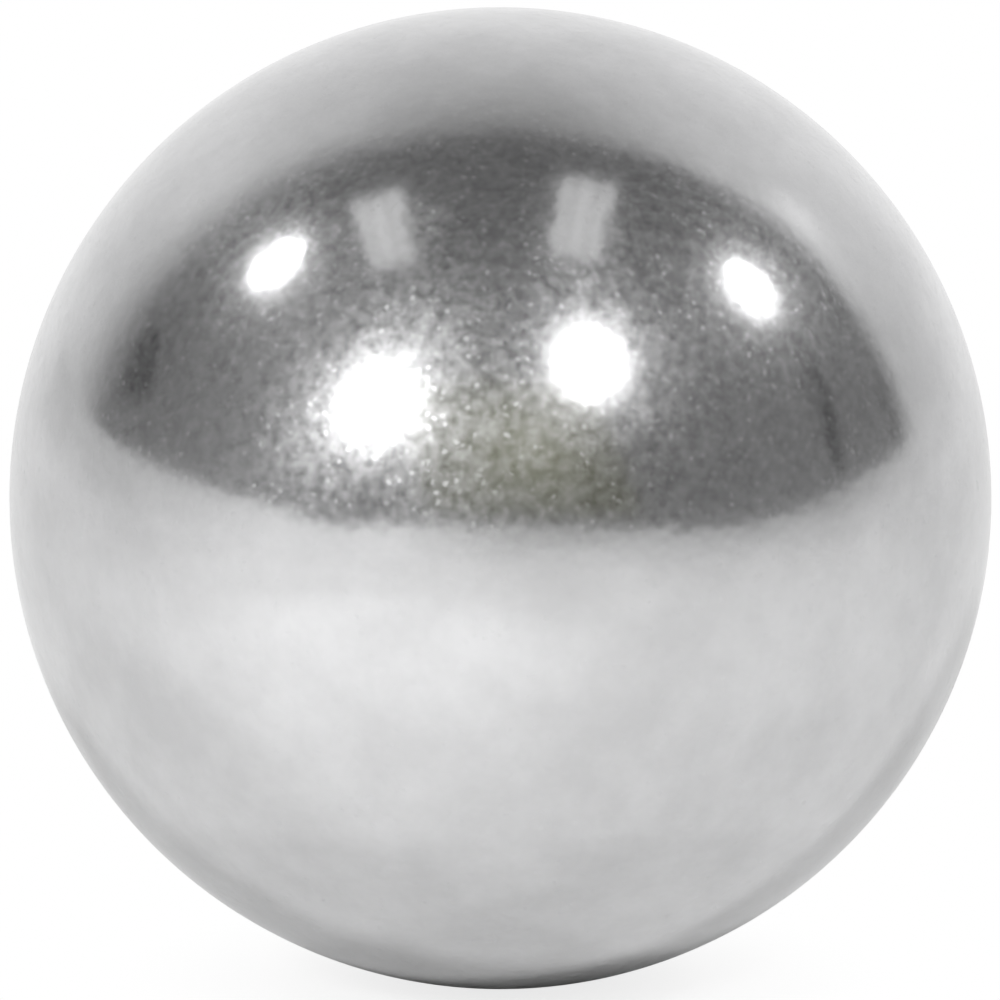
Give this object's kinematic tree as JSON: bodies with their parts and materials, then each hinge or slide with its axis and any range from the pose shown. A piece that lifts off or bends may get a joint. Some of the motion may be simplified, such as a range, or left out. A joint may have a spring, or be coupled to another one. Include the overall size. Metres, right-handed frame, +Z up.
{
  "type": "steel ball",
  "caption": "Solid polished steel ball: a plain true sphere that rolls, or sits in a race, cup, cone or socket.",
  "frame": {"origin": "the centre of the ball", "axes": "+Z up; -Z points at the lowest point, where the ball touches what it lies in; every axis through the centre is an axis of symmetry"},
  "size_m": [0.02, 0.02, 0.02],
  "materials": {
    "polished_steel": "polished"
  },
  "bodies": {
    "root": {"ball": "polished_steel"}
  },
  "joints": []
}
